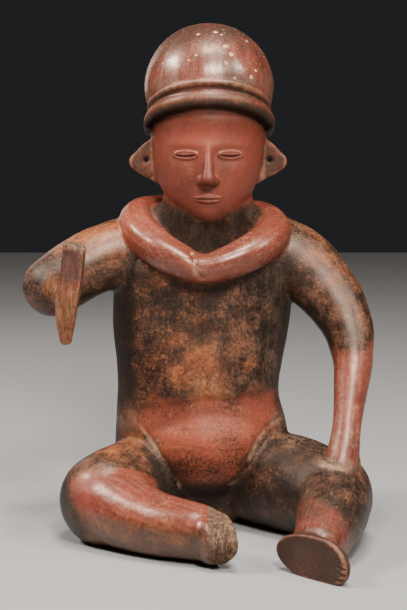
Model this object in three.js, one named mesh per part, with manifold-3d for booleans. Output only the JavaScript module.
// A seated man of hollow burnished clay, fired as one piece: a domed helmet with a rolled brim,
// pierced ears, a thick collar, one hand raised with a short paddle, the other arm propped on a
// knee, and the legs drawn in with their soles turned to each other.
// Millimetres, +Z up. The figure faces -Y, so its own right side is at -X.
import * as THREE from "three";
import { mergeVertices } from "three/addons/utils/BufferGeometryUtils.js";
import Module from "manifold-3d";

const wasm = await Module();
wasm.setup();

const { degToRad } = THREE.MathUtils;
const LIMB_SIDES = 16; // facets round an arm, a leg or the collar
const TRUNK_SIDES = 24;
const FINE_SIDES = 10;
const DOME_RINGS = 3; // rings in the rounded end of a roll
const X = new THREE.Vector3(1, 0, 0);
const Y = new THREE.Vector3(0, 1, 0);
const Z = new THREE.Vector3(0, 0, 1);

// A station on a roll: its place, its half size along the roll's reference axis, and the other one.
function station(at, half, other = half) {
  return { at: new THREE.Vector3(...at), half: new THREE.Vector3(half, other, 0) };
}

// Trunk and neck, standing rolls measured along X and then along Y.
const TRUNK = [
  station([-5.5, 4, 32], 84, 56),
  station([-5.5, 2, 60], 81, 60),
  station([-6, 0, 90], 78, 62),
  station([-7, 0, 118], 72, 61),
  station([-5, 2, 148], 73, 59),
  station([-6, 4, 176], 79, 57),
  station([-5, 5, 205], 81, 56),
  station([-4, 3, 234], 80, 54),
  station([-2, 4, 257], 66, 42),
];
const BELLY = { centre: [-3, -14, 84], half: [66, 58, 46] };
const NECK = [
  station([0, 4, 248], 62, 50),
  station([0, 3, 268], 52, 44),
  station([0, 0, 290], 41, 38),
  station([0, 0, 315], 40, 38),
];

// The head. The face is in thirds from the helmet to the chin, and is five eyes wide.
const CHIN = 272;
const BROW_LINE = 340;
const HELMET_LINE = 374;
const THIRD = (HELMET_LINE - CHIN) / 3;
const FACE_HALF_WIDTH = 49;
const FACE_FRONT = -50;
const EYE_WIDTH = (2 * FACE_HALF_WIDTH) / 5;
const EYE_LINE = BROW_LINE - THIRD / 5;
const NOSE_BASE = CHIN + THIRD;
const MOUTH = CHIN + (2 / 3) * THIRD;
const HEAD = [
  station([0, -5, CHIN + 5], 24, 36),
  station([0, -6, CHIN + 16], 33, 41),
  station([0, -6, CHIN + 34], 43, 43.5),
  station([0, -4, CHIN + 62], FACE_HALF_WIDTH, 46),
  station([0, -2, CHIN + 92], FACE_HALF_WIDTH + 1, 48),
  station([0, 4, CHIN + 120], 42, 42),
];
const NOSE = [
  station([0, FACE_FRONT + 3, BROW_LINE], 3.6, 4),
  station([0, FACE_FRONT - 1, EYE_LINE - 8], 4.4, 5),
  station([0, FACE_FRONT - 5, NOSE_BASE + 4], EYE_WIDTH / 2.6, 6),
];
const LIPS = [
  station([-0.75 * EYE_WIDTH, FACE_FRONT + 3, MOUTH], 1.6),
  station([0, FACE_FRONT, MOUTH], 3.4),
  station([0.75 * EYE_WIDTH, FACE_FRONT + 3, MOUTH], 1.6),
];
const LID = { deep: 5, tall: 4.6, sunk: 5.5 };
const SLIT = { eye: 0.8 * EYE_WIDTH, mouth: 1.4 * EYE_WIDTH, tall: 1.1, deep: 2.5 };
const EAR = { root: 42, tip: 71, top: 349, point: 325, foot: 309, thick: 8 };
const PIERCING = { radius: 2.1, x: 55, z: 328 };
const HELMET = { centre: [1, 8, 392], radius: 57.5 };
const BRIM = { centre: [1, 3, 359], tilt: 24, radius: 51, roll: 8.5, cord: 3.4, cordRise: 11 };

// The collar, a closed roll that dips to a point on the chest.
const COLLAR = [
  station([-62, 4, 277], 15),
  station([-61, -20, 267], 16),
  station([-47, -39, 254], 16.5),
  station([-28, -52, 243], 15.5),
  station([-7, -58, 235], 13.5),
  station([17, -57, 240], 15),
  station([40, -47, 250], 16.5),
  station([56, -24, 261], 16.5),
  station([57, 4, 270], 15),
  station([38, 32, 277], 14),
  station([-3, 43, 281], 14),
  station([-44, 32, 281], 14),
];

// Arms. The right forearm comes forward, flattened like a hand, and the paddle stands in it.
const RIGHT_ARM = [
  station([-58, 4, 249], 31),
  station([-100, -10, 238], 30),
  station([-138, -26, 216], 27.5),
];
const RIGHT_FOREARM = [
  station([-134, -30, 216], 19, 15),
  station([-124, -70, 215], 17, 11.5),
  station([-118.5, -92, 214], 16, 10.5),
];
const PADDLE = [
  station([-112, -97, 260], 9, 17),
  station([-114.5, -97, 238], 9.3, 16),
  station([-118.5, -98, 212], 10.5, 14.5),
  station([-120, -99, 202], 9.5, 12.5),
  station([-120.5, -99, 191], 7.1, 9),
  station([-120, -99, 181], 5.5, 6.5),
];
const PADDLE_END = { place: [-112, -97, 259], slope: 15, cut: 60 }; // the top is broken off
const LEFT_ARM = [
  station([52, 2, 250], 30),
  station([78, 0, 240], 31),
  station([100, -7, 219], 29.5),
  station([121, -25, 189], 24.5),
  station([127.5, -43, 158], 19),
  station([124.5, -60, 126], 14.5),
  station([120, -76, 96], 12.8),
  station([115, -87, 68], 15.5),
];

// Legs. A sole is a flat oval on edge, turned about Z from facing front.
const RIGHT_THIGH = [
  station([-40, 2, 38], 41),
  station([-68, -42, 38], 42),
  station([-88, -84, 37], 41),
];
const RIGHT_SHIN = [
  station([-88, -90, 37], 35),
  station([-54, -124, 28.5], 28.5),
  station([-14, -149, 25], 24.5),
  station([-4, -153, 25], 24.5),
];
const LEFT_THIGH = [
  station([40, 2, 41], 43),
  station([75, -40, 41], 44),
  station([104, -76, 38], 40),
];
const LEFT_SHIN = [
  station([108, -86, 38], 33),
  station([103, -132, 31], 29),
  station([90, -180, 21], 22.5),
];
const RIGHT_SOLE = { centre: [16, -161, 25], turn: 70, long: 31, tall: 26.5 };
const LEFT_SOLE = { centre: [84, -201, 17], turn: -46, long: 39, tall: 19.5 };
const SOLE_THICK = 9;
const TOE_MARK = { length: 11, width: 1.4, deep: 1.6, pitch: 6.5 };
const GROUND = { across: 800, deep: 100 };

// The ellipse across a roll at one place, its first half size measured along the axis.
function ringAt(centre, along, half, axis, sides, scale = 1) {
  const side = axis.clone().addScaledVector(along, -axis.dot(along)).normalize();
  const other = along.clone().cross(side);
  return Array.from({ length: sides }, (_, i) => {
    const angle = (2 * Math.PI * i) / sides;
    return centre
      .clone()
      .addScaledVector(side, half.x * scale * Math.cos(angle))
      .addScaledVector(other, half.y * scale * Math.sin(angle));
  });
}

// Faces between each ring and the next, facing out when the rings run along the roll.
function facesBetween(count, sides, closed) {
  const faces = [];
  const last = closed ? count : count - 1;
  for (let ring = 0; ring < last; ring++) {
    const here = ring * sides;
    const next = ((ring + 1) % count) * sides;
    for (let i = 0; i < sides; i++) {
      const j = (i + 1) % sides;
      faces.push(here + i, here + j, next + j, here + i, next + j, next + i);
    }
  }
  return faces;
}

function geometryOf(points, faces) {
  const geometry = new THREE.BufferGeometry().setFromPoints(points);
  return geometry.setIndex(faces);
}

// Shrinking rings from one end of a roll out to its tip, outward being -1 at the start.
function domeRings(centre, along, half, axis, sides, outward) {
  const reach = Math.min(half.x, half.y) * outward;
  const rings = Array.from({ length: DOME_RINGS }, (_, k) => {
    const angle = ((k + 1) / (DOME_RINGS + 1)) * (Math.PI / 2);
    const place = centre.clone().addScaledVector(along, reach * Math.sin(angle));
    return ringAt(place, along, half, axis, sides, Math.cos(angle));
  });
  return { rings, tip: centre.clone().addScaledVector(along, reach) };
}

// A roll of clay through its stations, with both ends rounded.
function roll(stations, axis, sides = LIMB_SIDES, steps = 3) {
  const line = new THREE.CatmullRomCurve3(stations.map((s) => s.at));
  const halves = new THREE.CatmullRomCurve3(stations.map((s) => s.half));
  const end = (t, outward) =>
    domeRings(line.getPoint(t), line.getTangent(t), halves.getPoint(t), axis, sides, outward);
  const start = end(0, -1);
  const finish = end(1, 1);
  const count = steps * (stations.length - 1);
  const middle = Array.from({ length: count + 1 }, (_, k) => {
    const t = k / count;
    return ringAt(line.getPoint(t), line.getTangent(t), halves.getPoint(t), axis, sides);
  });
  const rings = [...start.rings.reverse(), ...middle, ...finish.rings];
  const faces = facesBetween(rings.length, sides, false);
  const lastRing = (rings.length - 1) * sides;
  const startTip = rings.length * sides;
  const finishTip = startTip + 1;
  for (let i = 0; i < sides; i++) {
    const j = (i + 1) % sides;
    faces.push(startTip, j, i, finishTip, lastRing + i, lastRing + j);
  }
  return geometryOf([...rings.flat(), start.tip, finish.tip], faces);
}

// A roll whose ends meet.
function hoop(stations, axis, sides = LIMB_SIDES, steps = 2) {
  const line = new THREE.CatmullRomCurve3(stations.map((s) => s.at), true);
  const halves = new THREE.CatmullRomCurve3(stations.map((s) => s.half), true);
  const count = steps * stations.length;
  const rings = Array.from({ length: count }, (_, k) => {
    const t = k / count;
    return ringAt(line.getPoint(t), line.getTangent(t), halves.getPoint(t), axis, sides);
  });
  return geometryOf(rings.flat(), facesBetween(count, sides, true));
}

// A flat shape drawn in X and Z, with a rounded edge, its thickness centred on Y = 0.
function slab(outline, thick, rim, curveSegments) {
  const plate = new THREE.ExtrudeGeometry(outline, {
    depth: thick - 2 * rim,
    bevelSize: rim,
    bevelThickness: rim,
    bevelSegments: 1,
    curveSegments,
  });
  return plate.rotateX(Math.PI / 2).translate(0, thick / 2 - rim, 0);
}

function sole({ centre, turn, long, tall }) {
  const rim = 2.5;
  const outline = new THREE.Shape().absellipse(0, 0, long - rim, tall - rim, 0, 2 * Math.PI);
  return slab(outline, SOLE_THICK, rim, 11).rotateZ(degToRad(turn)).translate(...centre);
}

// Three short strokes across the toe end of a foot.
function toeMarks({ centre, turn, long }) {
  return [-1, 0, 1].map((row) =>
    new THREE.BoxGeometry(TOE_MARK.length, 2 * TOE_MARK.deep, TOE_MARK.width)
      .translate(long - TOE_MARK.length / 2, -SOLE_THICK / 2, row * TOE_MARK.pitch)
      .rotateZ(degToRad(turn))
      .translate(...centre),
  );
}

// The left ear. The right one is its mirror image.
function ear() {
  const outline = new THREE.Shape();
  outline.moveTo(EAR.root, EAR.top);
  outline.lineTo(EAR.tip - 8, EAR.point + 8);
  outline.quadraticCurveTo(EAR.tip, EAR.point, EAR.tip - 6, EAR.point - 5);
  outline.lineTo(EAR.root, EAR.foot);
  const piercing = new THREE.CylinderGeometry(PIERCING.radius, PIERCING.radius, 3 * EAR.thick, 12);
  piercing.translate(PIERCING.x, 0, PIERCING.z);
  return solid(slab(outline, EAR.thick, 2, 4)).subtract(solid(piercing));
}

function helmetDome() {
  const dome = new THREE.SphereGeometry(HELMET.radius, 28, 14);
  return dome.rotateX(Math.PI / 2).translate(...HELMET.centre);
}

// A ring of the brim, rise above its middle, on the plane that tips back over the nape.
function brimRing(tube, rise, sides) {
  return new THREE.TorusGeometry(BRIM.radius, tube, sides, 32)
    .translate(0, 0, rise)
    .rotateX(degToRad(-BRIM.tilt))
    .translate(...BRIM.centre);
}

function belly() {
  const bulge = new THREE.SphereGeometry(1, 24, 14).rotateX(Math.PI / 2);
  return bulge.scale(...BELLY.half).translate(...BELLY.centre);
}

// An eyelid, one eye width to the side of the middle of the face.
function lid(side) {
  const almond = new THREE.SphereGeometry(1, 12, 8);
  almond.scale(EYE_WIDTH / 2, LID.deep, LID.tall);
  return almond.translate(side * EYE_WIDTH, FACE_FRONT + LID.sunk, EYE_LINE);
}

function slit(length, x, z) {
  const cut = new THREE.BoxGeometry(length, 8, SLIT.tall);
  return cut.translate(x, FACE_FRONT + SLIT.deep - 4, z);
}

function paddleEnd() {
  const { place, slope, cut } = PADDLE_END;
  const block = new THREE.BoxGeometry(cut, cut, cut).translate(0, 0, cut / 2);
  return block.rotateY(degToRad(slope)).translate(...place);
}

function ground() {
  const block = new THREE.BoxGeometry(GROUND.across, GROUND.across, GROUND.deep);
  return block.translate(0, 0, -GROUND.deep / 2);
}

// A closed mesh as a solid that can be joined and cut.
function solid(geometry) {
  const bare = geometry.clone();
  bare.deleteAttribute("normal");
  bare.deleteAttribute("uv");
  const merged = mergeVertices(bare, 1e-3);
  return new wasm.Manifold(
    new wasm.Mesh({
      numProp: 3,
      vertProperties: new Float32Array(merged.attributes.position.array),
      triVerts: new Uint32Array(merged.index.array),
    }),
  );
}

function facetedGeometry(shape) {
  const mesh = shape.getMesh();
  const geometry = new THREE.BufferGeometry();
  geometry.setAttribute("position", new THREE.BufferAttribute(mesh.vertProperties, 3));
  geometry.setIndex(new THREE.BufferAttribute(mesh.triVerts, 1));
  const faceted = geometry.toNonIndexed();
  faceted.computeVertexNormals();
  return faceted;
}

const clay = [
  roll(TRUNK, X, TRUNK_SIDES, 2),
  belly(),
  roll(NECK, X, TRUNK_SIDES, 1),
  roll(HEAD, X, TRUNK_SIDES, 2),
  roll(NOSE, X, FINE_SIDES, 2),
  roll(LIPS, Z, FINE_SIDES, 2),
  lid(-1),
  lid(1),
  helmetDome(),
  brimRing(BRIM.roll, 0, 10),
  brimRing(BRIM.cord, BRIM.cordRise, 6),
  hoop(COLLAR, Z),
  roll(RIGHT_ARM, Z),
  roll(RIGHT_FOREARM, Z),
  roll(PADDLE, X, LIMB_SIDES, 1),
  roll(LEFT_ARM, Y, LIMB_SIDES, 2),
  roll(RIGHT_THIGH, Z),
  roll(RIGHT_SHIN, Z),
  sole(RIGHT_SOLE),
  roll(LEFT_THIGH, Z),
  roll(LEFT_SHIN, Z),
  sole(LEFT_SOLE),
].map(solid);
const cuts = [
  slit(SLIT.eye, -EYE_WIDTH, EYE_LINE),
  slit(SLIT.eye, EYE_WIDTH, EYE_LINE),
  slit(SLIT.mouth, 0, MOUTH),
  paddleEnd(),
  ...toeMarks(RIGHT_SOLE),
  ...toeMarks(LEFT_SOLE),
  ground(),
].map(solid);

const leftEar = ear();
const whole = [...clay, leftEar, leftEar.mirror([1, 0, 0])].reduce((sum, roll) => sum.add(roll));
const figure = cuts.reduce((rest, cut) => rest.subtract(cut), whole);

const burnishedClay = new THREE.MeshStandardMaterial({
  color: 0x7a4030,
  roughness: 0.45,
  metalness: 0,
});
const seatedFigure = new THREE.Mesh(facetedGeometry(figure), burnishedClay);
seatedFigure.name = "seated_figure";

// The origin is on the ground, under the middle of the figure's box.
const middle = new THREE.Box3().setFromObject(seatedFigure).getCenter(new THREE.Vector3());
seatedFigure.position.set(-middle.x, -middle.y, 0);

const part = new THREE.Group();
part.add(seatedFigure);

export default part;
